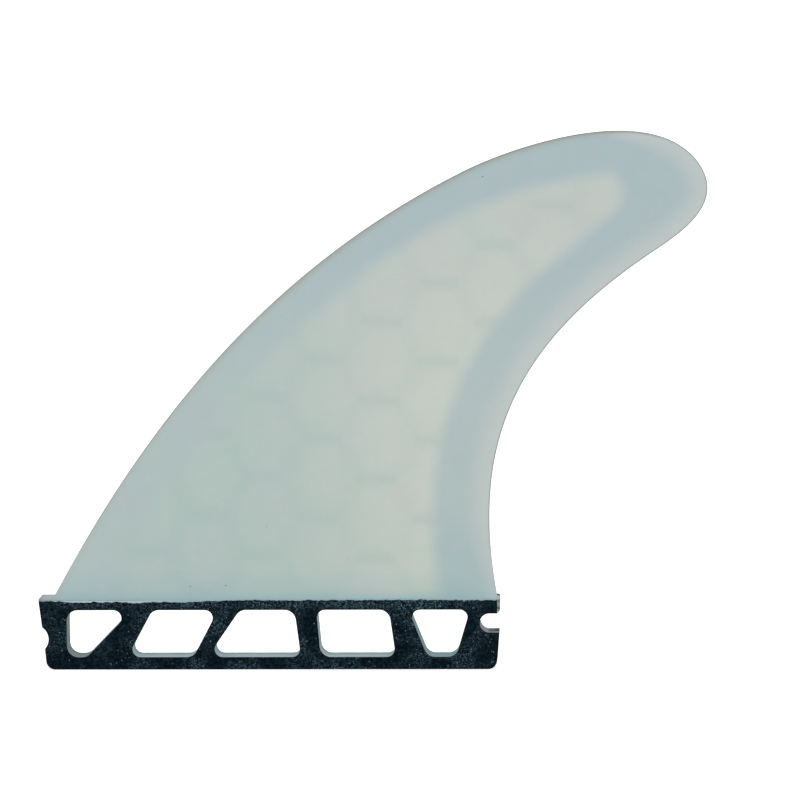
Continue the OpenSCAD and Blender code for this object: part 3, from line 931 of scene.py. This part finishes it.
body = laid(body, both(ease(tree, pebbles["Grain"], -0.04, -0.16), 0.7), (1, 7, 12))
bright = both(ease(tree, chance.outputs[0], 0.94, 0.98),
              ease(tree, pebble.outputs["Distance"], 0.45, 0.15))
body = laid(body, sums(tree, "MULTIPLY", bright, 0.75), (136, 152, 162))
put(tree, shader.inputs["Base Color"], body)
put(tree, shader.inputs["Roughness"],
    sums(tree, "ADD", 0.72, sums(tree, "MULTIPLY", grain["Grain"], 0.3)))
shader.inputs["Specular IOR Level"].default_value = 0.03
bump = tree.nodes.new("ShaderNodeBump")
bump.inputs["Strength"].default_value = 0.6
bump.inputs["Distance"].default_value = 0.0001
put(tree, bump.inputs["Height"], sums(tree, "ADD", grain["Grain"],
                                      sums(tree, "MULTIPLY", pebble.outputs["Distance"], 0.6)))
put(tree, shader.inputs["Normal"], bump.outputs["Normal"])
for piece in coats:
    piece.data.materials.append(coat_finish)

# %% [markdown]
# ## The core's finish
# The core sheet is sealed in, but it is a piece of its own and gets its own finish: a warm,
# off-white foam with fine pores, matt all over.

# %% Material of the core sheet
core_finish, tree, shader, place = new_material("core_foam")
grain = placed(tree, grain_group, place=place, cloud_size=6.0, grain_size=0.45)
body = mixed(tree, ease(tree, grain["Cloud"], -0.2, 0.2), paint(206, 206, 192), paint(222, 221, 208))
body = mixed(tree, ease(tree, grain["Grain"], 0.08, 0.2), body, paint(188, 187, 172))
put(tree, shader.inputs["Base Color"], body)
put(tree, shader.inputs["Roughness"],
    sums(tree, "ADD", 0.8, sums(tree, "MULTIPLY", grain["Grain"], 0.2)))
bump = tree.nodes.new("ShaderNodeBump")
bump.inputs["Strength"].default_value = 0.5
bump.inputs["Distance"].default_value = 0.00008
put(tree, bump.inputs["Height"], grain["Grain"])
put(tree, shader.inputs["Normal"], bump.outputs["Normal"])
core.data.materials.clear()
core.data.materials.append(core_finish)
print("materials:", [m.name for m in (laminate_finish, bare_finish, coat_finish, core_finish)])

# %% [markdown]
# ## Floor and light
# The fin stands on its tab on a plain white floor in a plain white room. The room lights it
# evenly from all sides, as a light tent does, and two soft lamps in front and one behind give
# it a little form. What the camera sees of the room and the floor is white, with the fin's soft
# shadow left on the floor.

# %% The floor
floor_mesh = bpy.data.meshes.new("floor")
floor_size, floor_z = 12.0, -(TAB_DEPTH + 0.02) * MM
floor_mesh.from_pydata([(x * floor_size, y * floor_size, floor_z)
                        for x, y in ((-1, -1), (1, -1), (1, 1), (-1, 1))], [], [(0, 1, 2, 3)])
floor = bpy.data.objects.new("floor", floor_mesh)
bpy.context.scene.collection.objects.link(floor)
floor_finish = bpy.data.materials.new("white_floor")
floor_finish.use_nodes = True
tree = floor_finish.node_tree
tree.nodes.clear()
result = tree.nodes.new("ShaderNodeOutputMaterial")
matt = tree.nodes.new("ShaderNodeBsdfDiffuse")
matt.inputs["Color"].default_value = (0.8, 0.8, 0.8, 1)
glow = tree.nodes.new("ShaderNodeEmission")
rays = tree.nodes.new("ShaderNodeLightPath")
seen = sums(tree, "MAXIMUM", rays.outputs["Is Camera Ray"],
            sums(tree, "MAXIMUM", rays.outputs["Is Glossy Ray"], rays.outputs["Is Transmission Ray"]))
put(tree, glow.inputs["Strength"], sums(tree, "MULTIPLY", seen, 0.6))
floor_light = tree.nodes.new("ShaderNodeAddShader")
put(tree, floor_light.inputs[0], matt.outputs[0])
put(tree, floor_light.inputs[1], glow.outputs[0])
put(tree, result.inputs["Surface"], floor_light.outputs[0])
floor_mesh.materials.append(floor_finish)
floor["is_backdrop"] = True

# %% The room's light
world = bpy.data.worlds.new("light_tent")
bpy.context.scene.world = world
world.use_nodes = True
tree = world.node_tree
tree.nodes.clear()
result = tree.nodes.new("ShaderNodeOutputWorld")
room = tree.nodes.new("ShaderNodeBackground")
rays = tree.nodes.new("ShaderNodeLightPath")
seen = sums(tree, "MAXIMUM", rays.outputs["Is Camera Ray"],
            sums(tree, "MAXIMUM", rays.outputs["Is Glossy Ray"], rays.outputs["Is Transmission Ray"]))
put(tree, room.inputs["Strength"], ease(tree, seen, 0.0, 1.0, 0.96, 1.0))
put(tree, result.inputs["Surface"], room.outputs[0])


def lamp(name, place, aim, width, watts):
    """A square soft lamp that looks at a point, in metres."""
    light = bpy.data.lights.new(name, "AREA")
    light.size, light.energy = width, watts
    holder = bpy.data.objects.new(name, light)
    holder.location = place
    holder.rotation_euler = (Vector(aim) - Vector(place)).to_track_quat("-Z", "Y").to_euler()
    bpy.context.scene.collection.objects.link(holder)
    return holder


middle = (0.03, 0.0, 0.045)
lamp("lamp_left", (-1.8, -2.4, 0.7), middle, 1.8, 22.0)
lamp("lamp_right", (2.2, -2.1, 0.4), middle, 1.8, 11.0)
lamp("lamp_behind", (0.4, 2.4, 1.6), middle, 1.8, 23.0)

# %% [markdown]
# ## The camera
# The picture was taken from a little to the right and a little above, square on to the flat
# face, with a long lens. The aim point and the lens give the same framing, and the camera is
# rolled by two thirds of a degree, because the fin leans that much in the picture.

# %% Camera at the picture's angle
AZIMUTH, ELEVATION, ROLL = math.radians(3.1), math.radians(7.3), math.radians(-0.66)
aim = Vector((33.06, 2.5, 48.73)) * MM
towards = Vector((math.sin(AZIMUTH) * math.cos(ELEVATION),
                  -math.cos(AZIMUTH) * math.cos(ELEVATION), math.sin(ELEVATION)))
camera = bpy.data.objects.new("camera", bpy.data.cameras.new("camera"))
camera.location = aim + towards * 1.0
turn = (-towards).to_track_quat("-Z", "Y") @ Quaternion((0, 0, 1), ROLL)
camera.rotation_euler = turn.to_euler()
camera.data.sensor_width = 36
camera.data.lens = 36 * 4036.5 / 800
bpy.context.scene.collection.objects.link(camera)
bpy.context.scene.camera = camera
bpy.context.scene.view_settings.view_transform = "Standard"
print("lens", round(camera.data.lens, 2), "mm")

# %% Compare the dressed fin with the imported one, and finish
boxes = {"cad": [list(c) for c in cad_box], "visual": [list(c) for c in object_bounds()]}
for title, (low, high) in boxes.items():
    print(title, [round((b - a) / MM, 2) for a, b in zip(low, high)], "mm")
